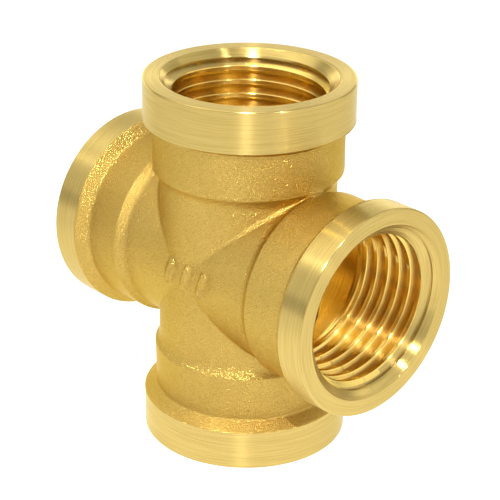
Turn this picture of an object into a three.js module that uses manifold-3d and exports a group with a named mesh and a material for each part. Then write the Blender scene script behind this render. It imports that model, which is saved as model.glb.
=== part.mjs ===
// Brass cross fitting for threaded pipe: one casting with four turned and tapped female ports in one plane.
// Millimetres, +Z up. The origin is the point where the two bore axes cross.
// The vertical arms lie along Z and the horizontal arms along X. Every arm is made along +Z and then turned.
import * as THREE from "three";
import { mergeVertices } from "three/addons/utils/BufferGeometryUtils.js";
import Module from "manifold-3d";

const wasm = await Module();
wasm.setup();

// Overall size: distance from the crossing of the axes to an end face
const VERTICAL_REACH = 23.6;
const HORIZONTAL_REACH = 22.5;

// Outside radii of an arm, from the crossing outwards
const NECK_RADIUS = 11.05;
const BARREL_RADIUS = 11.8;
const COLLAR_RADIUS = 13;
const CREST_RADIUS = 13.06; // the cast shoulder stands a little proud of the turned collar

// Stations along an arm, measured from the crossing of the axes
const NECK_END = 10.7;
const BARREL_START = 12.1;
const BARREL_END = 17.4;
const COLLAR_START = 18.6;
const THREAD_END = 10.75; // the innermost reach of the thread

// Port: 1/2 in parallel pipe thread, 14 turns to the inch, 55 degree flanks
const PITCH = 25.4 / 14;
const THREAD_MAJOR_RADIUS = 20.955 / 2;
const THREAD_MINOR_RADIUS = 18.63 / 2;
const FLANK_HALF_ANGLE = THREE.MathUtils.degToRad(27.5);
const CREST_CLEARANCE = 0.2; // how far the thread's cutting section stands inside the crests
const MOUTH_RADIUS = 10.9;
const CHAMFER_DEPTH = 1.6; // the lead-in cone runs from the mouth down to the thread's crests
const RIM_BEVEL = 0.2;
const SLEEVE_RADIUS = 10.65; // the tapped wall's outside, behind the collar

// Raised mark on the hub: three plain parallel bars
const MARK_BARS = 3;
const MARK_SPACING = 2.9;
const MARK_CENTRE = { x: 0.7, z: 0.3 };
const MARK_BAR = { width: 0.9, length: 3.6, lift: 0.35 };
const MARK_SLANT = THREE.MathUtils.degToRad(18);
const MARK_ROOT = 0.6; // how deep each bar is sunk into the hub's wall

// Facets
const AROUND = 28;
const SHOULDER_STEPS = 4;
const CUT_MARGIN = 2; // how far a bore's cutting solid runs past what it cuts
const QUARTER_TURN = Math.PI / 2;

const CAST = { color: 0xc39a45, roughness: 0.5, metalness: 1 };
const TURNED = { color: 0xd9b560, roughness: 0.25, metalness: 1 };
const THREADED = { color: 0xcf9f3f, roughness: 0.2, metalness: 1 };

// ---- geometry helpers ----

// A closed geometry as a solid that can be joined and cut.
function solidOf(geometry) {
  const bare = geometry.index ? geometry.toNonIndexed() : geometry.clone();
  bare.deleteAttribute("normal");
  bare.deleteAttribute("uv");
  const merged = mergeVertices(bare, 1e-4);
  return new wasm.Manifold(
    new wasm.Mesh({
      numProp: 3,
      vertProperties: merged.attributes.position.array,
      triVerts: new Uint32Array(merged.index.array),
    }),
  );
}

function geometryOf(solid) {
  const { numProp, vertProperties, triVerts } = solid.getMesh();
  const positions = new Float32Array((vertProperties.length / numProp) * 3);
  for (let i = 0; i < positions.length / 3; i++) {
    positions.set(vertProperties.subarray(i * numProp, i * numProp + 3), i * 3);
  }
  const geometry = new THREE.BufferGeometry();
  geometry.setAttribute("position", new THREE.BufferAttribute(positions, 3));
  geometry.setIndex(new THREE.BufferAttribute(new Uint32Array(triVerts), 1));
  const faceted = geometry.toNonIndexed();
  faceted.computeVertexNormals();
  return faceted;
}

// A solid of revolution about Z from [radius, height] pairs, listed anticlockwise.
function turned(profile) {
  const points = profile.map(([radius, height]) => new THREE.Vector2(radius, height));
  return new THREE.LatheGeometry(points, AROUND).rotateX(QUARTER_TURN);
}

// A ring about Z with a plain bore. Its outside profile runs from the low station to the high one.
function ring(outside, boreRadius) {
  const low = outside[0][1];
  const high = outside.at(-1)[1];
  return turned([[boreRadius, low], ...outside, [boreRadius, high], [boreRadius, low]]);
}

// A round plug about Z, for cutting bores.
function plug(radius, low, high) {
  const length = high - low;
  const cylinder = new THREE.CylinderGeometry(radius, radius, length, AROUND);
  return cylinder.rotateX(QUARTER_TURN).translate(0, 0, low + length / 2);
}

// Points of a shoulder that rises smoothly from one radius and station to another.
function shoulder([lowRadius, low], [highRadius, high]) {
  return Array.from({ length: SHOULDER_STEPS + 1 }, (_, i) => {
    const t = i / SHOULDER_STEPS;
    const rise = t * t * (3 - 2 * t);
    return [lowRadius + (highRadius - lowRadius) * rise, low + (high - low) * t];
  });
}

// ---- hub: necks, first shoulders, chamber and raised mark ----

// The solid outside of two opposite arms along Z, from one barrel to the other.
function doubleNeck() {
  const upper = shoulder([NECK_RADIUS, NECK_END], [BARREL_RADIUS, BARREL_START]);
  const lower = upper.map(([radius, height]) => [radius, -height]).reverse();
  return turned([[0, -BARREL_START], ...lower, ...upper, [0, BARREL_START]]);
}

// The cutting solids of two opposite bores along Z: one right through, and a wider one for each tapped wall.
function doubleBore() {
  const end = BARREL_START + CUT_MARGIN;
  return [
    plug(THREAD_MINOR_RADIUS, -end, end),
    plug(SLEEVE_RADIUS, THREAD_END, end),
    plug(SLEEVE_RADIUS, -end, -THREAD_END),
  ];
}

function markBar(index) {
  const { width, length, lift } = MARK_BAR;
  const depth = lift + MARK_ROOT;
  const bar = new THREE.BoxGeometry(width, depth, length).rotateY(MARK_SLANT);
  const x = MARK_CENTRE.x + (index - (MARK_BARS - 1) / 2) * MARK_SPACING;
  return bar.translate(x, -NECK_RADIUS - lift + depth / 2, MARK_CENTRE.z);
}

function hub() {
  const horizontal = (geometry) => geometry.rotateY(QUARTER_TURN);
  let solid = solidOf(doubleNeck()).add(solidOf(horizontal(doubleNeck())));
  for (let i = 0; i < MARK_BARS; i++) solid = solid.add(solidOf(markBar(i)));
  for (const bore of [...doubleBore(), ...doubleBore().map(horizontal)]) {
    solid = solid.subtract(solidOf(bore));
  }
  return geometryOf(solid);
}

// ---- the three rings of an arm ----

function socket() {
  const rise = shoulder([BARREL_RADIUS, BARREL_END], [CREST_RADIUS, COLLAR_START]);
  return ring([[BARREL_RADIUS, BARREL_START], ...rise], SLEEVE_RADIUS);
}

function collar(reach) {
  const outside = [
    [COLLAR_RADIUS, COLLAR_START],
    [COLLAR_RADIUS, reach - RIM_BEVEL],
    [COLLAR_RADIUS - RIM_BEVEL, reach],
  ];
  return ring(outside, MOUTH_RADIUS);
}

// A right-handed helix about Z on the thread's crests. Its frames keep one side facing away from the axis,
// so that a section swept along it doesn't twist.
class Helix extends THREE.Curve {
  constructor(start, turns) {
    super();
    this.start = start;
    this.turns = turns;
  }
  outwardAt(t) {
    const angle = t * this.turns * 2 * Math.PI;
    return new THREE.Vector3(Math.cos(angle), Math.sin(angle), 0);
  }
  getPoint(t) {
    const point = this.outwardAt(t).multiplyScalar(THREAD_MINOR_RADIUS);
    return point.setZ(this.start + t * this.turns * PITCH);
  }
  computeFrenetFrames(segments) {
    const axis = new THREE.Vector3(0, 0, 1);
    const normals = Array.from({ length: segments + 1 }, (_, i) => this.outwardAt(i / segments));
    const tangents = normals.map((normal) => axis.clone().cross(normal));
    const binormals = normals.map(() => axis.clone().negate());
    return { tangents, normals, binormals };
  }
}

// The material that the tap removes: a groove's section, swept along the helix.
function threadCutter(reach) {
  const turns = Math.ceil((reach - THREAD_END) / PITCH) + 1;
  const depth = THREAD_MAJOR_RADIUS - THREAD_MINOR_RADIUS;
  const halfMouth = (depth + CREST_CLEARANCE) * Math.tan(FLANK_HALF_ANGLE);
  const section = new THREE.Shape([
    new THREE.Vector2(-CREST_CLEARANCE, -halfMouth),
    new THREE.Vector2(depth, 0),
    new THREE.Vector2(-CREST_CLEARANCE, halfMouth),
  ]);
  const helix = new Helix(THREAD_END - PITCH, turns);
  return new THREE.ExtrudeGeometry(section, { steps: turns * AROUND, extrudePath: helix });
}

// The tapped wall: it fills the wider bore of the hub and socket, and the still wider bore of the collar.
function thread(reach) {
  const wall = turned([
    [THREAD_MINOR_RADIUS, THREAD_END],
    [SLEEVE_RADIUS, THREAD_END],
    [SLEEVE_RADIUS, COLLAR_START],
    [MOUTH_RADIUS, COLLAR_START],
    [MOUTH_RADIUS, reach],
    [THREAD_MINOR_RADIUS, reach - CHAMFER_DEPTH],
    [THREAD_MINOR_RADIUS, THREAD_END],
  ]);
  return geometryOf(solidOf(wall).subtract(solidOf(threadCutter(reach))));
}

// ---- assembly ----

function part(name, geometry, finish) {
  const mesh = new THREE.Mesh(geometry, new THREE.MeshStandardMaterial(finish));
  mesh.name = name;
  return mesh;
}

// One arm along +Z, turned about Y to its place.
function arm(name, reach, turn) {
  const group = new THREE.Group();
  group.add(part(`${name}_socket`, socket(), CAST));
  group.add(part(`${name}_collar`, collar(reach), TURNED));
  group.add(part(`${name}_thread`, thread(reach), THREADED));
  group.rotation.y = turn;
  return group;
}

const cross = new THREE.Group();
cross.add(part("cross_hub", hub(), CAST));
cross.add(arm("top", VERTICAL_REACH, 0));
cross.add(arm("bottom", VERTICAL_REACH, 2 * QUARTER_TURN));
cross.add(arm("front", HORIZONTAL_REACH, QUARTER_TURN));
cross.add(arm("rear", HORIZONTAL_REACH, -QUARTER_TURN));

export default cross;
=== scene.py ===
"""The looks of the brass cross fitting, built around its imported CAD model.

The casting, its four turned collars and its four tapped walls are made here as fine meshes, in the frame's
own place and size. Lengths are worked out in millimetres and scaled to metres when a mesh is made. Every arm
is worked out along its own axis: local x and y lie across it, and a station is a distance from the crossing.
"""
import math

import bmesh
import bpy
import numpy as np
from mathutils import Matrix, Vector

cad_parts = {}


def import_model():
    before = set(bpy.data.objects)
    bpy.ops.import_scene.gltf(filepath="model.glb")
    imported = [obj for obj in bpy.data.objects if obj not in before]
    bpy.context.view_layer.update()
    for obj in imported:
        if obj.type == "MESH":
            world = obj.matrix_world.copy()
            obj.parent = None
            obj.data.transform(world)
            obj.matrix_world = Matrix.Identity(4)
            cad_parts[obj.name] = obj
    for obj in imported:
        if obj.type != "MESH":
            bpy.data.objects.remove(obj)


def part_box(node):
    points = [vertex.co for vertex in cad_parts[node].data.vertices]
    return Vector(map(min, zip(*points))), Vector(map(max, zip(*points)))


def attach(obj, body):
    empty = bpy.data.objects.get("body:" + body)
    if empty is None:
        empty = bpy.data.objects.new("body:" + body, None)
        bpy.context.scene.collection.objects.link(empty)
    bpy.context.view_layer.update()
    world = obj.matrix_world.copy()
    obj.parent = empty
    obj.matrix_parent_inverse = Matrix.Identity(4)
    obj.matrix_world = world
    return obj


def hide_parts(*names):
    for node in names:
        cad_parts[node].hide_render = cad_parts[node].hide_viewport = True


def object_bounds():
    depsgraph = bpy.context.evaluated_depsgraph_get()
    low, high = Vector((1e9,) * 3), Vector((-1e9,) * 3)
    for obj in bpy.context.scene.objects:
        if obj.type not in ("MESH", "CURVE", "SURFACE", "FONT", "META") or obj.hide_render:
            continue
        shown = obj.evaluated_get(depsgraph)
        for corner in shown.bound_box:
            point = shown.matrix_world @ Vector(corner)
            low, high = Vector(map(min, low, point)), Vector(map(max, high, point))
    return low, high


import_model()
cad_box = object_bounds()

MM = 0.001
TURN = 2 * math.pi
TINY = 1e-6  # keeps a divisor or a width off zero
X, Z = 0, 2
LOW, HIGH = 0, 1


# ---------------------------------------------------------------- sizes

def size_of(node, corner, axis):
    """One coordinate of a CAD node's box, in millimetres and without its sign."""
    return abs(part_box(node)[corner][axis]) / MM


# From the frame
VERTICAL_REACH = size_of("top_collar", HIGH, Z)
HORIZONTAL_REACH = size_of("front_collar", HIGH, X)
COLLAR_RADIUS = size_of("top_collar", HIGH, X)
CREST_RADIUS = size_of("top_socket", HIGH, X)
SOCKET_START = size_of("top_socket", LOW, Z)
THREAD_START = size_of("top_thread", LOW, Z)
MOUTH_RADIUS = size_of("top_thread", HIGH, X)

# The cast necks and shoulders. A rounding is the width over which two surfaces blend into each other.
NECK_RADIUS = 11.05
NECK_FILLET = 0.8
FIRST_SHOULDER_START = 11.05
FIRST_SHOULDER_SLOPE = 0.8
FIRST_FOOT_ROUNDING = 0.5
FIRST_TOP_ROUNDING = 0.12
SECOND_FOOT_ROUNDING = 0.3
SECOND_TOP_ROUNDING = 0.2
CREST_ALLOWANCE = 0.04  # room for the skin's ripples under the CAD crest

# The seats where collars and tapped walls meet the casting
SLEEVE_RADIUS = 10.65
SEAT_GAP = 0.01
SEAT_RADIUS = SLEEVE_RADIUS + SEAT_GAP

# The turned edges
RIM_BEVEL = 0.2
MOUTH_BEVEL = 0.12
COLLAR_TILT_TOWARDS = math.radians(70)  # the side on which a tilted collar edge starts furthest out

# The thread and its lead-in cone
PITCH = 25.4 / 14
MAJOR_RADIUS = 20.955 / 2
MINOR_RADIUS = 18.63 / 2
FLANK = math.tan(math.radians(27.5))
ROOT_FLAT = 0.06
ROOT_ROUNDING = 0.16
CREST_ROUNDING = 0.1
CHAMFER_DEPTH = 1.6
CHAMFER_ROUNDING = 0.04
RUN_OUT_START = 10.2
RUN_OUT_LENGTH = 2.0
CROSSING_FADE = 0.8  # over this last stretch the thread fades to nothing where two bores meet

# The raised mark: plain parallel bars
MARK_BARS = 3
MARK_SPACING = 2.9
MARK_CENTRE = (0.7, 0.3)
MARK_WIDTH = 0.9
MARK_LENGTH = 3.6
MARK_LIFT = 0.35
MARK_SLANT = math.radians(18)

# The trimmed rest of the parting line, with a small nub in each corner between two arms
FLASH_LIFT = 0.05
FLASH_WIDTH = 1.6
FLASH_WANDER = 0.25
NUB_PLACE = 11.3
NUB_SIZE = 1.1
NUB_LIFT = 2  # as a multiple of the parting line's own lift
NUB_UNEVENNESS = 0.5
DRESSED_START = 15.5  # from here outwards the parting line is gradually dressed away
DRESSED_LENGTH = 1.5

RELIEF_EDGE = 0.35  # the width of the slope at the edge of raised relief

# The search for the skin, outwards along a radius
SEARCH_LOW = 8.0
SEARCH_HIGH = 17.0
HALVINGS = 24

# Mesh points round each kind of piece, and rows along it
AROUND = 200
COLLAR_AROUND = 224
THREAD_AROUND = 180
MARKED_SIDE_CROWDING = 0.5  # the share by which the points stand closer on the marked side
SHOULDER_FOOT = 10.4  # the hub's rows close up from here
FOOT_SHARE = 0.3  # or from this share of the way to the shoulder's end, where that is further out
NECK_SHARE = 0.6  # the share of the neck that the first stretch of rows covers
CREASE_END = 0.1  # below this station the crease between two arms has run out
HUB_ROWS = (30, 8, 20)
BARREL_ROWS = (14, 26)
BAND_ROWS = 24
BEVEL_ROWS = 6
FACE_ROWS = 14
MOUTH_ROWS = 4
SPARE_PITCHES = 2
ROOT_STEPS = (0.05, 0.1, 0.3)  # rows beside the middle of a groove
CREST_STEPS = (-0.06, -0.02, 0.02, 0.06)  # rows on either side of the edge of a crest
MERGE_DISTANCE = 1e-7  # in metres
SHARP_ANGLE = math.radians(35)

# Texture coordinates of the turned surfaces
LATHE_SHIFT = 17.0  # from one arm's lines to the next arm's
LATHE_DRIFT = 0.2  # how far the lines change round an arm
THREAD_LINES = 1.3  # texture distance for each millimetre along a thread's axis


def rounded_max(a, b, width):
    """The larger of two values, with the corner where they cross rounded off."""
    overlap = np.clip(width - abs(a - b), 0, None) / width
    return np.maximum(a, b) + overlap * overlap * width / 4


def rounded_min(a, b, width):
    return -rounded_max(-a, -b, width)


def smooth_step(t):
    t = np.clip(t, 0, 1)
    return t * t * (3 - 2 * t)


class Arm:
    """One arm of the cross.

    axes holds the directions that its local x, y and axis take in the frame. The rest is what the foundry and
    the lathe left a little different from arm to arm: the barrel's radius and taper, where the second
    shoulder starts and how steep it is, where the turned collar starts and how much that edge tilts, and
    where the thread starts round the arm.
    """

    def __init__(self, name, reach, axes, barrel, taper, shoulder, slope, edge, tilt, phase):
        self.name = name
        self.reach = reach
        self.axes = np.array(axes, float)
        self.barrel = barrel
        self.taper = taper
        self.shoulder = shoulder
        self.slope = slope
        self.edge = edge
        self.tilt = tilt
        self.phase = phase

    def outside(self, s):
        """The cast skin's radius at station s: neck, first shoulder, barrel, second shoulder and crest."""
        barrel = self.barrel - self.taper * np.clip(s - SOCKET_START, 0, None)
        first_slope = NECK_RADIUS + FIRST_SHOULDER_SLOPE * (s - FIRST_SHOULDER_START)
        first = rounded_max(NECK_RADIUS, first_slope, FIRST_FOOT_ROUNDING)
        first = rounded_min(first, barrel, FIRST_TOP_ROUNDING)
        second_slope = self.barrel + self.slope * (s - self.shoulder)
        second = rounded_max(first, second_slope, SECOND_FOOT_ROUNDING)
        return rounded_min(second, CREST_RADIUS - CREST_ALLOWANCE, SECOND_TOP_ROUNDING)

    def collar_edge(self, angle):
        """The station where the turned collar starts."""
        return self.edge + self.tilt * np.cos(angle - COLLAR_TILT_TOWARDS)

    def place(self, angle, radius, s):
        """Points of the frame, from an angle round the arm, a radius and a station."""
        across = (radius * np.cos(angle), radius * np.sin(angle))
        local = np.stack(np.broadcast_arrays(*across, s), axis=-1)
        return local @ self.axes


TOP = Arm("top", VERTICAL_REACH, [(1, 0, 0), (0, 1, 0), (0, 0, 1)],
          barrel=11.85, taper=0.01, shoulder=17.8, slope=2.0, edge=18.45, tilt=0.15, phase=0.10)
BOTTOM = Arm("bottom", VERTICAL_REACH, [(-1, 0, 0), (0, 1, 0), (0, 0, -1)],
             barrel=11.62, taper=0.03, shoulder=17.65, slope=1.6, edge=18.65, tilt=0.05, phase=0.60)
FRONT = Arm("front", HORIZONTAL_REACH, [(0, 0, -1), (0, 1, 0), (1, 0, 0)],
            barrel=11.8, taper=0.01, shoulder=17.8, slope=1.3, edge=18.95, tilt=0.05, phase=0.36)
REAR = Arm("rear", HORIZONTAL_REACH, [(0, 0, 1), (0, 1, 0), (-1, 0, 0)],
           barrel=11.75, taper=0.01, shoulder=17.25, slope=1.0, edge=18.6, tilt=0.05, phase=0.35)
ARMS = (TOP, BOTTOM, FRONT, REAR)


# ---------------------------------------------------------------- the casting's skin

def random_waves(seed, count, shortest, longest):
    """Plane waves in random directions, as wave vectors and phases."""
    rng = np.random.default_rng(seed)
    heading = rng.normal(size=(count, 3))
    heading /= np.linalg.norm(heading, axis=1, keepdims=True)
    length = rng.uniform(shortest, longest, size=(count, 1))
    return heading * TURN / length, rng.uniform(0, TURN, size=count)


def ripple(points, waves):
    """A smooth random height, mostly between -1 and 1, at each point of the frame."""
    vectors, phases = waves
    return np.sin(points @ vectors.T + phases).sum(axis=-1) / math.sqrt(len(phases))


SKIN_WAVES = random_waves(seed=7, count=40, shortest=2.0, longest=7.0)
SKIN_WAVE_HEIGHT = 0.012
FLASH_WAVES = random_waves(seed=11, count=12, shortest=1.0, longest=4.0)


def raised(inside):
    """1 well inside an outline and 0 well outside it, from the distance inside it."""
    return smooth_step(inside / RELIEF_EDGE + 0.5)


def flash_height(points):
    """The trimmed rest of the parting line, on the plane of the two bores and thickest between the arms."""
    x, y, z = np.moveaxis(points, -1, 0)
    wobble = ripple(points, FLASH_WAVES)
    band = raised(FLASH_WIDTH / 2 - abs(y + FLASH_WANDER * wobble))
    corner = np.hypot(abs(x) - NUB_PLACE, abs(z) - NUB_PLACE)
    nub = NUB_LIFT * np.exp(-(corner / NUB_SIZE) ** 2) * (1 + NUB_UNEVENNESS * wobble)
    dressed = smooth_step((np.maximum(abs(x), abs(z)) - DRESSED_START) / DRESSED_LENGTH)
    return FLASH_LIFT * band * (1 + nub) * (1 - dressed)


def mark_height(points):
    """How far the raised bars of the mark lift the skin on the -Y side."""
    x, y, z = np.moveaxis(points, -1, 0)
    height = np.zeros(x.shape)
    for i in range(MARK_BARS):
        across = x - MARK_CENTRE[0] - (i - (MARK_BARS - 1) / 2) * MARK_SPACING
        along = z - MARK_CENTRE[1]
        u = across * math.cos(MARK_SLANT) - along * math.sin(MARK_SLANT)
        v = across * math.sin(MARK_SLANT) + along * math.cos(MARK_SLANT)
        beyond = np.clip(abs(v) - (MARK_LENGTH - MARK_WIDTH) / 2, 0, None)
        height = np.maximum(height, raised(MARK_WIDTH / 2 - np.hypot(u, beyond)))
    return MARK_LIFT * height * (y < 0)


def skin_field(points):
    """Below zero inside the casting: two crossing round shapes, blended along their crease, with relief."""
    x, y, z = np.moveaxis(points, -1, 0)
    from_z = np.hypot(x, y)
    from_x = np.hypot(y, z)
    vertical = from_z - np.where(z > 0, TOP.outside(abs(z)), BOTTOM.outside(abs(z)))
    horizontal = from_x - np.where(x > 0, FRONT.outside(abs(x)), REAR.outside(abs(x)))
    aligned = y * y / np.maximum(from_z * from_x, TINY)  # 1 where both skins face the same way
    shape = rounded_min(vertical, horizontal, NECK_FILLET * np.clip(1 - aligned, 0, 1) + TINY)
    relief = SKIN_WAVE_HEIGHT * ripple(points, SKIN_WAVES) + flash_height(points) + mark_height(points)
    return shape - relief


def mitre_radius(angle, s):
    """The radius at which station s of an arm reaches the plane halfway to its neighbour."""
    towards = abs(np.cos(angle))
    return np.where(towards > TINY, s / np.maximum(towards, TINY), SEARCH_HIGH)


def skin_radius(arm, angle, s):
    """The radius of the skin round an arm, found by halving on the arm's own side of the plane."""
    angle, s = np.broadcast_arrays(angle, s)
    high = np.minimum(mitre_radius(angle, s), SEARCH_HIGH)
    low = np.minimum(SEARCH_LOW, high)
    for _ in range(HALVINGS):
        middle = (low + high) / 2
        inside = skin_field(arm.place(angle, middle, s)) < 0
        low = np.where(inside, middle, low)
        high = np.where(inside, high, middle)
    return (low + high) / 2


def skin_mitre(arm, angle):
    """The station where an arm's skin meets its neighbour's, on the plane halfway between them."""
    low = np.zeros(angle.shape)
    high = SEARCH_HIGH * abs(np.cos(angle))
    for _ in range(HALVINGS):
        middle = (low + high) / 2
        inside = skin_field(arm.place(angle, mitre_radius(angle, middle), middle)) < 0
        low = np.where(inside, middle, low)
        high = np.where(inside, high, middle)
    return (low + high) / 2


def cast_angles():
    """Angles round an arm, close together on the marked side and symmetric about it."""
    t = np.arange(AROUND + 1) * TURN / AROUND
    return t - MARKED_SIDE_CROWDING * np.sin(t) - TURN / 4


LAPPED_ANGLES = cast_angles()
ANGLES = LAPPED_ANGLES[:-1]


def stations(knots, counts):
    """Rows of stations that run through the knots, with so many rows to each stretch."""
    rows = [np.linspace(a, b, count, endpoint=False) for a, b, count in zip(knots, knots[1:], counts)]
    return np.concatenate(rows + [knots[-1][None]])


def ring_row(arm, angle, radius, s):
    """One row of points round an arm."""
    return arm.place(angle, np.full(angle.shape, radius), s)[None]


# ---------------------------------------------------------------- the bores

def groove_radius(along):
    """The radius of the tapped wall, at an axial distance from the middle of the nearest groove."""
    flank = MAJOR_RADIUS + ROOT_FLAT - along / FLANK
    return rounded_max(rounded_min(flank, MAJOR_RADIUS, ROOT_ROUNDING), MINOR_RADIUS, CREST_ROUNDING)


def cone_radius(arm, s):
    """The radius of the lead-in cone, which runs from the mouth down to the thread's crests."""
    slope = (MOUTH_RADIUS - MINOR_RADIUS) / CHAMFER_DEPTH
    return MOUTH_RADIUS - (arm.reach - s) * slope


def crossing_station(angle):
    """The station where an arm's bore meets its neighbour's."""
    return MINOR_RADIUS * abs(np.cos(angle))


def bore_radius(arm, angle, s):
    """The radius of the tapped bore with its lead-in cone and the fading inner end of the thread."""
    turns = s / PITCH - angle / TURN + arm.phase
    cut = groove_radius(PITCH * abs(turns - np.round(turns))) - MINOR_RADIUS
    clear = s - crossing_station(angle)
    fade = smooth_step((s - RUN_OUT_START) / RUN_OUT_LENGTH) * smooth_step(clear / CROSSING_FADE)
    return rounded_max(MINOR_RADIUS + cut * fade, cone_radius(arm, s), CHAMFER_ROUNDING)


def groove_steps():
    """Distances from a groove's middle at which one pitch of thread gets its rows."""
    half = (MAJOR_RADIUS + ROOT_FLAT - MINOR_RADIUS) * FLANK
    corner = [half + step for step in CREST_STEPS]
    right = [*ROOT_STEPS, *corner, (corner[-1] + PITCH / 2) / 2]
    left = [PITCH - step for step in reversed(right)]
    return np.array([0.0, *right, PITCH / 2, *left])


def helical_rows(arm, angle, low, high):
    """Stations and row offsets of a bore's rows, which follow its helix between two stations.

    Row i at the end of a turn is row i + one pitch at its start. Rows that would run past either station are
    drawn in to it and merge there.
    """
    pitches = math.ceil((np.max(high) - np.min(low)) / PITCH) + 2 * SPARE_PITCHES
    first = math.floor(np.min(low) / PITCH + arm.phase) - SPARE_PITCHES
    groove = (first + np.arange(pitches) - arm.phase)[:, None] * PITCH
    offset = (groove + groove_steps()).reshape(-1, 1)
    return np.clip(offset + PITCH * angle / TURN, low, high), offset


# ---------------------------------------------------------------- meshes

def band_faces(rows, around, closed_round=True, closed_along=False):
    """Quads between neighbouring rows of a band, which may close on itself round the arm and along it."""
    row = np.arange(rows if closed_along else rows - 1)[:, None]
    column = np.arange(around if closed_round else around - 1)[None, :]
    next_row = (row + 1) % rows
    next_column = (column + 1) % around
    corners = [row * around + column, row * around + next_column,
               next_row * around + next_column, next_row * around + column]
    return np.stack(np.broadcast_arrays(*corners), axis=-1).reshape(-1, 4)


class Bands:
    """The bands of points that make up one piece, each with its own faces, material and point attributes."""

    def __init__(self):
        self.points = []
        self.faces = []
        self.slots = []
        self.attributes = {}

    def add(self, rows, slot=0, closed_round=True, closed_along=False, **attributes):
        """Add rows of points. The slot is one material for all the faces, or one for each face."""
        first = sum(len(points) for points in self.points)
        faces = band_faces(*rows.shape[:2], closed_round, closed_along)
        self.points.append(rows.reshape(-1, 3))
        self.faces.append(faces + first)
        self.slots.append(np.broadcast_to(slot, len(faces)))
        for name, vectors in attributes.items():
            self.attributes.setdefault(name, []).append(vectors.reshape(-1, 3))

    def make(self, name, *materials):
        """A closed mesh object: doubles merged, normals outwards and hard edges marked."""
        mesh = bpy.data.meshes.new(name)
        points = np.concatenate(self.points) * MM
        mesh.from_pydata(points.tolist(), [], np.concatenate(self.faces).tolist())
        for material in materials:
            mesh.materials.append(material)
        mesh.polygons.foreach_set("material_index", np.concatenate(self.slots).astype(np.int32))
        for key, vectors in self.attributes.items():
            layer = mesh.attributes.new(key, "FLOAT_VECTOR", "POINT")
            layer.data.foreach_set("vector", np.concatenate(vectors).astype(np.float32).ravel())
        work = bmesh.new()
        work.from_mesh(mesh)
        bmesh.ops.remove_doubles(work, verts=work.verts, dist=MERGE_DISTANCE)
        bmesh.ops.recalc_face_normals(work, faces=work.faces)
        work.to_mesh(mesh)
        work.free()
        mesh.shade_smooth()
        mesh.set_sharp_from_angle(angle=SHARP_ANGLE)
        return placed(name, mesh)


def placed(name, data):
    """A new object in the scene, made of a mesh, a light or a camera."""
    thing = bpy.data.objects.new(name, data)
    bpy.context.scene.collection.objects.link(thing)
    return thing


def belong(piece, slot, *nodes):
    """Tie a piece to the frame's root body and hide the CAD nodes that it stands for. The slot, the finish it
    takes, is not used.
    """
    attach(piece, "root")
    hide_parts(*nodes)


# ---------------------------------------------------------------- materials

EDGE_TINT = (0.9, 0.78, 0.42, 1)
TURNED_EDGE_TINT = (0.97, 0.92, 0.72, 1)
WHITE = (1, 1, 1, 1)


class Nodes:
    """A short way to write a material's node tree."""

    def __init__(self, name):
        self.material = bpy.data.materials.new(name)
        self.material.use_nodes = True
        self.tree = self.material.node_tree
        self.tree.nodes.clear()
        self.output = self.tree.nodes.new("ShaderNodeOutputMaterial")

    def add(self, kind, inputs=None, **settings):
        node = self.tree.nodes.new("ShaderNode" + kind)
        for key, value in settings.items():
            setattr(node, key, value)
        for key, value in (inputs or {}).items():
            if isinstance(value, bpy.types.NodeSocket):
                self.tree.links.new(value, node.inputs[key])
            else:
                node.inputs[key].default_value = value
        return node

    def position(self):
        """The surface point in the frame, in millimetres."""
        place = self.add("TexCoord").outputs["Object"]
        return self.add("VectorMath", {0: place, "Scale": 1 / MM}, operation="SCALE").outputs[0]

    def attribute(self, name):
        return self.add("Attribute", attribute_name=name).outputs["Vector"]

    def maths(self, operation, *values):
        return self.add("Math", dict(enumerate(values)), operation=operation).outputs[0]

    def noise(self, vector, scale, detail=2.0, roughness=0.5):
        """Noise of about 0 to 1. The scale is how many of its lumps go into a unit of the vector."""
        inputs = {"Vector": vector, "Scale": scale, "Detail": detail, "Roughness": roughness}
        return self.add("TexNoise", inputs).outputs["Fac"]

    def remap(self, value, low, high, to_low=0.0, to_high=1.0):
        """Carry a value from one range to another, and hold it there past the ends."""
        inputs = {"Value": value, "From Min": low, "From Max": high, "To Min": to_low, "To Max": to_high}
        return self.add("MapRange", inputs).outputs["Result"]

    def mix(self, share, first, second):
        """The first colour where the share is 0 and the second where it is 1."""
        node = self.add("Mix", {"Factor": share}, data_type="RGBA")
        colours = [socket for socket in node.inputs if socket.type == "RGBA"]
        for socket, colour in zip(colours, (first, second)):
            if isinstance(colour, bpy.types.NodeSocket):
                self.tree.links.new(colour, socket)
            else:
                socket.default_value = (*colour, 1)
        return [socket for socket in node.outputs if socket.type == "RGBA"][0]

    def bump(self, height, depth, strength=1.0):
        """A surface normal from a height, where a height of 1 stands for the depth in millimetres."""
        inputs = {"Height": height, "Strength": strength, "Distance": depth * MM}
        return self.add("Bump", inputs).outputs["Normal"]

    def finish(self, inputs):
        """End the tree in a metal shader with these inputs."""
        shader = self.add("BsdfPrincipled", {"Metallic": 1.0, "Specular Tint": EDGE_TINT, **inputs})
        self.tree.links.new(shader.outputs["BSDF"], self.output.inputs["Surface"])
        return self.material


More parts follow.
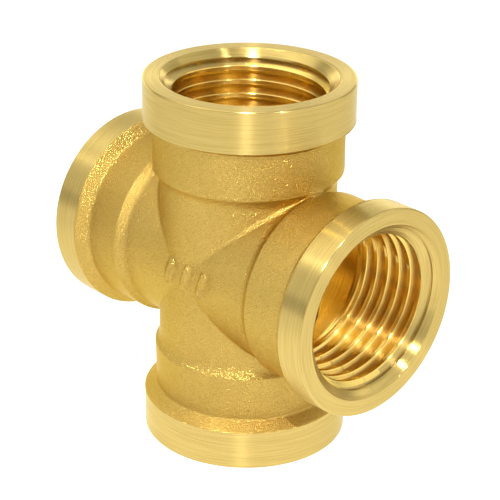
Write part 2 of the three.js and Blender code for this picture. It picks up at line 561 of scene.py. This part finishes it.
def cast_brass():
    """As-cast skin: blasted, with a fine glittering grain and slow changes of colour."""
    deep = (0.55, 0.37, 0.09)
    pale = (0.595, 0.41, 0.108)
    pits = (0.46, 0.29, 0.058)
    pebble_share = 0.5
    nodes = Nodes("cast_brass")
    place = nodes.position()
    grain = nodes.noise(place, scale=7.5, detail=1.0)
    pebble = nodes.noise(place, scale=2.4, detail=1.0)
    tone = nodes.noise(place, scale=0.16)
    height = nodes.maths("ADD", grain, nodes.maths("MULTIPLY", pebble, pebble_share))
    colour = nodes.mix(nodes.remap(tone, low=0.3, high=0.7), deep, pale)
    grained = nodes.mix(nodes.remap(grain, low=0.35, high=0.55), pits, colour)
    return nodes.finish({
        "Base Color": grained,
        "Roughness": 0.28,
        "Normal": nodes.bump(height, depth=0.12),
    })


def turned_brass():
    """Bright turned band, face and lead-in, with lathe lines that spread the light across themselves."""
    deep = (0.585, 0.43, 0.13)
    pale = (0.62, 0.46, 0.148)
    scored = (0.52, 0.375, 0.108)
    coarse_share = 0.8
    nodes = Nodes("turned_brass")
    lathe = nodes.attribute("lathe")
    fine = nodes.noise(lathe, scale=9.0, detail=3.0, roughness=0.6)
    coarse = nodes.noise(lathe, scale=1.6)
    height = nodes.maths("ADD", fine, nodes.maths("MULTIPLY", coarse, coarse_share))
    colour = nodes.mix(nodes.remap(coarse, low=0.3, high=0.7), deep, pale)
    lined = nodes.mix(nodes.remap(fine, low=0.35, high=0.55), scored, colour)
    return nodes.finish({
        "Base Color": lined,
        "Specular Tint": TURNED_EDGE_TINT,
        "Roughness": 0.24,
        "Anisotropic": 1.0,
        "Tangent": nodes.attribute("across"),
        "Normal": nodes.bump(height, depth=0.015),
    })


def threaded_brass():
    """The cut thread, with the tool's lines along the helix. Its colours are lighter than the turned brass
    outside: painted light for the dim inside of the port.
    """
    # Lighter than the turned brass: painted light inside the port.
    deep = (0.83, 0.59, 0.15)
    pale = (0.87, 0.63, 0.17)
    nodes = Nodes("threaded_brass")
    lathe = nodes.attribute("lathe")
    fine = nodes.noise(lathe, scale=4.0, detail=3.0, roughness=0.6)
    coarse = nodes.noise(lathe, scale=1.5)
    height = nodes.maths("ADD", fine, coarse)
    colour = nodes.mix(nodes.remap(coarse, low=0.3, high=0.7), deep, pale)
    return nodes.finish({
        "Base Color": colour,
        "Roughness": 0.2,
        "Anisotropic": 1.0,
        "Tangent": nodes.attribute("across"),
        "Normal": nodes.bump(height, depth=0.03),
    })


def chamber_brass():
    """The bored middle of the casting, darker than the thread, with the boring tool's rings. Its colours are
    still lighter than the turned brass outside: painted light for the dim middle of the casting.
    """
    # Lighter than the turned brass: painted light inside the casting.
    deep = (0.73, 0.50, 0.12)
    pale = (0.77, 0.53, 0.135)
    nodes = Nodes("chamber_brass")
    place = nodes.position()
    x, _, z = nodes.add("SeparateXYZ", {0: place}).outputs
    station = nodes.maths("MAXIMUM", nodes.maths("ABSOLUTE", x), nodes.maths("ABSOLUTE", z))
    rings = nodes.noise(nodes.add("CombineXYZ", {"X": station}).outputs[0], scale=2.2)
    colour = nodes.mix(nodes.noise(place, scale=0.5), deep, pale)
    return nodes.finish({
        "Base Color": colour,
        "Roughness": 0.22,
        "Normal": nodes.bump(rings, depth=0.04, strength=0.5),
    })


CAST = cast_brass()
TURNED = turned_brass()
THREADED = threaded_brass()
CHAMBER = chamber_brass()


# ---------------------------------------------------------------- pieces

def hub_stations(start):
    """Rows of the hub's skin, from the crease with the neighbouring arms to the end of the first shoulder."""
    foot = np.maximum(SHOULDER_FOOT, start + FOOT_SHARE * (SOCKET_START - start))
    knots = [start, start + NECK_SHARE * (foot - start), foot, np.full(AROUND, SOCKET_START)]
    return stations(knots, HUB_ROWS)


def hub():
    """The middle of the casting: four necks, the first shoulders, the raised mark and the chamber."""
    bands = Bands()
    for arm in ARMS:
        start = skin_mitre(arm, ANGLES)
        skin_s = hub_stations(start)
        radius = skin_radius(arm, ANGLES, skin_s)
        # The first row lies on the crease itself, except at an arm's sides, where the crease runs out.
        radius[0] = np.where(start > CREASE_END, mitre_radius(ANGLES, start), radius[0])
        skin = arm.place(ANGLES, radius, skin_s)
        end_ring = ring_row(arm, ANGLES, SEAT_RADIUS, SOCKET_START)
        inner_ring = ring_row(arm, ANGLES, SEAT_RADIUS, THREAD_START)
        bore_ring = arm.place(ANGLES, bore_radius(arm, ANGLES, THREAD_START), THREAD_START)[None]
        bands.add(np.concatenate([skin, end_ring]))
        bands.add(np.concatenate([end_ring, inner_ring, bore_ring]), slot=1)
        s, _ = helical_rows(arm, LAPPED_ANGLES, crossing_station(LAPPED_ANGLES), THREAD_START)
        bands.add(arm.place(LAPPED_ANGLES, bore_radius(arm, LAPPED_ANGLES, s), s), slot=1, closed_round=False)
    belong(bands.make("hub_casting", CAST, CHAMBER), "cast_brass", "cross_hub")


def barrel(arm):
    """The cast barrel of one arm with its second shoulder, up to the turned collar."""
    edge = arm.collar_edge(ANGLES)
    start = np.full(AROUND, SOCKET_START)
    shoulder_foot = np.full(AROUND, arm.shoulder - SECOND_FOOT_ROUNDING)
    s = stations([start, shoulder_foot, edge], BARREL_ROWS)
    skin = arm.place(ANGLES, skin_radius(arm, ANGLES, s), s)
    seat = [ring_row(arm, ANGLES, SEAT_RADIUS, edge), ring_row(arm, ANGLES, SEAT_RADIUS, SOCKET_START)]
    bands = Bands()
    bands.add(np.concatenate([skin, *seat]), closed_along=True)
    belong(bands.make(arm.name + "_barrel", CAST), "cast_brass", arm.name + "_socket")


def lathe_coordinate(arm, line, angle):
    """A texture coordinate that changes fast across the tool's lines and slowly along them."""
    shift = LATHE_SHIFT * (1 + ARMS.index(arm))
    drift = (LATHE_DRIFT * np.cos(angle), LATHE_DRIFT * np.sin(angle))
    return np.stack(np.broadcast_arrays(line + shift, *drift), axis=-1)


def collar_profile(arm, edge):
    """Radii and stations of a collar's outline, from its back edge over the bevel to the mouth."""
    band_end = arm.reach - RIM_BEVEL
    face_outer = COLLAR_RADIUS - RIM_BEVEL
    face_inner = MOUTH_RADIUS + MOUTH_BEVEL
    band = [(COLLAR_RADIUS, edge + (band_end - edge) * t) for t in np.linspace(0, 1, BAND_ROWS)]
    bevel = [(face_outer + RIM_BEVEL * math.cos(a), band_end + RIM_BEVEL * math.sin(a))
             for a in np.linspace(0, TURN / 4, BEVEL_ROWS)[1:]]
    face = [(face_outer + (face_inner - face_outer) * t, arm.reach)
            for t in np.linspace(0, 1, FACE_ROWS)[1:]]
    mouth = [(face_inner - MOUTH_BEVEL * math.sin(a), arm.reach - MOUTH_BEVEL * (1 - math.cos(a)))
             for a in np.linspace(0, TURN / 4, MOUTH_ROWS)[1:]]
    return band + bevel + face + mouth + [(MOUTH_RADIUS, edge)]


def collar(arm):
    """The turned ring of one port: its band, the bevel of its edge and its end face."""
    angle = np.arange(COLLAR_AROUND) * TURN / COLLAR_AROUND
    profile = collar_profile(arm, arm.collar_edge(angle))
    radius = np.stack([np.full(COLLAR_AROUND, r) for r, _ in profile])
    s = np.stack([np.broadcast_to(station, COLLAR_AROUND) for _, station in profile])
    step_out = np.gradient(radius, axis=0)
    step_along = np.gradient(s, axis=0)
    length = np.hypot(step_out, step_along)
    bands = Bands()
    bands.add(arm.place(angle, radius, s), closed_along=True,
              lathe=lathe_coordinate(arm, np.cumsum(length, axis=0), angle),
              across=arm.place(angle, step_out / length, step_along / length))
    belong(bands.make(arm.name + "_rim", TURNED), "turned_brass", arm.name + "_collar")


def tapped_wall(arm):
    """The tapped wall of one port: lead-in cone and thread inside, and a plain seat outside.

    The cone takes the turned finish, from the first faces that reach it.
    """
    lapped = np.arange(THREAD_AROUND + 1) * TURN / THREAD_AROUND
    angle = lapped[:-1]
    s, offset = helical_rows(arm, lapped, THREAD_START, arm.reach)
    radius = bore_radius(arm, lapped, s)
    rise = np.gradient(radius, axis=0)
    run = np.gradient(s, axis=0) + TINY
    length = np.hypot(rise, run)
    lead_in = s > arm.reach - CHAMFER_DEPTH
    bands = Bands()
    bands.add(arm.place(lapped, radius, s), slot=lead_in[1:, 1:].ravel(), closed_round=False,
              lathe=lathe_coordinate(arm, THREAD_LINES * offset, lapped),
              across=arm.place(lapped, rise / length, run / length))
    seat = np.concatenate([
        ring_row(arm, angle, MOUTH_RADIUS, arm.reach),
        ring_row(arm, angle, MOUTH_RADIUS, arm.edge),
        ring_row(arm, angle, SLEEVE_RADIUS, arm.edge),
        ring_row(arm, angle, SLEEVE_RADIUS, THREAD_START),
        arm.place(angle, bore_radius(arm, angle, THREAD_START), THREAD_START)[None],
    ])
    bands.add(seat, lathe=seat, across=np.broadcast_to(arm.axes[Z], seat.shape))
    belong(bands.make(arm.name + "_tapping", THREADED, TURNED), "threaded_brass", arm.name + "_thread")


hub()
for arm in ARMS:
    barrel(arm)
    collar(arm)
    tapped_wall(arm)


# ---------------------------------------------------------------- stage, light and camera

def pale_floor():
    """A white surface that glows, most strongly round the fitting: a painted pool of light that also washes
    out the fitting's shadow.
    """
    nodes = Nodes("pale_floor")
    distance = nodes.add("VectorMath", {0: nodes.position()}, operation="LENGTH").outputs["Value"]
    return nodes.finish({
        "Metallic": 0.0,
        "Specular Tint": WHITE,
        "Base Color": (0.2, 0.2, 0.2, 1),
        # Painted light: the floor glows, brighter next to the fitting, where its shadow would fall.
        "Emission Color": WHITE,
        "Emission Strength": nodes.remap(distance, low=25, high=110, to_low=1.2, to_high=0.82),
        "Roughness": 0.9,
        "Specular IOR Level": 0.1,
    })


def stage():
    """The floor under the fitting."""
    half = 3.0  # in metres
    level = cad_box[LOW][Z]
    corners = [(-half, -half, level), (half, -half, level), (half, half, level), (-half, half, level)]
    mesh = bpy.data.meshes.new("floor")
    mesh.from_pydata(corners, [], [(0, 1, 2, 3)])
    floor = placed("floor", mesh)
    mesh.materials.append(pale_floor())


def direction(azimuth, elevation):
    """The way from the fitting to a light or camera, from degrees. Azimuth 0 is the -Y side and 90 is +X."""
    a = math.radians(azimuth)
    e = math.radians(elevation)
    return Vector((math.sin(a) * math.cos(e), -math.cos(a) * math.cos(e), math.sin(e)))


def softbox(name, azimuth, elevation, distance, width, height, brightness):
    """A rectangular studio light aimed at the fitting, with its distance and size in metres."""
    light = bpy.data.lights.new(name, "AREA")
    light.shape = "RECTANGLE"
    light.size = width
    light.size_y = height
    light.energy = 4 * width * height * brightness
    lamp = placed(name, light)
    away = direction(azimuth, elevation)
    lamp.location = away * distance
    lamp.rotation_mode = "QUATERNION"
    lamp.rotation_quaternion = away.to_track_quat("Z", "Y")


def world():
    """Even white light from all round."""
    sky = bpy.data.worlds.new("studio")
    bpy.context.scene.world = sky
    sky.use_nodes = True
    background = sky.node_tree.nodes["Background"]
    background.inputs["Color"].default_value = WHITE
    background.inputs["Strength"].default_value = 0.64


def camera():
    """The camera at the photograph's viewing angle, with a slight roll."""
    azimuth = 46.41
    roll = math.radians(0.93)
    distance = 0.2162
    lens = bpy.data.cameras.new("camera")
    lens.lens = 123.5
    lens.shift_x = 0.0059
    lens.shift_y = 0.0068
    lens.clip_start = 0.01
    back = direction(azimuth, elevation=24.76)
    level = Vector((math.cos(math.radians(azimuth)), math.sin(math.radians(azimuth)), 0))
    right = math.cos(roll) * level + math.sin(roll) * back.cross(level)
    turn = Matrix((right, back.cross(right), back)).transposed().to_4x4()
    view = placed("camera", lens)
    view.matrix_world = Matrix.Translation(back * distance) @ turn
    bpy.context.scene.camera = view


stage()
world()
camera()
# Two narrow lights make the bright streaks, and the wide ones shade the sides.
softbox("key", azimuth=43, elevation=45, distance=0.6, width=0.025, height=0.06, brightness=500)
softbox("side_key", azimuth=87, elevation=44, distance=0.6, width=0.02, height=0.06, brightness=150)
softbox("side", azimuth=115, elevation=28, distance=0.8, width=1.4, height=0.5, brightness=0.65)
softbox("front_left", azimuth=345, elevation=30, distance=0.8, width=1.2, height=0.5, brightness=0.3)
softbox("back_left", azimuth=240, elevation=6, distance=0.8, width=1.6, height=0.4, brightness=1.1)
softbox("back", azimuth=225, elevation=32, distance=0.8, width=1.2, height=0.5, brightness=0.15)
softbox("overhead", azimuth=310, elevation=72, distance=0.8, width=0.9, height=0.9, brightness=1.0)
softbox("low_right", azimuth=60, elevation=4, distance=0.8, width=0.4, height=0.3, brightness=0.2)
bpy.context.scene.view_settings.view_transform = "Standard"
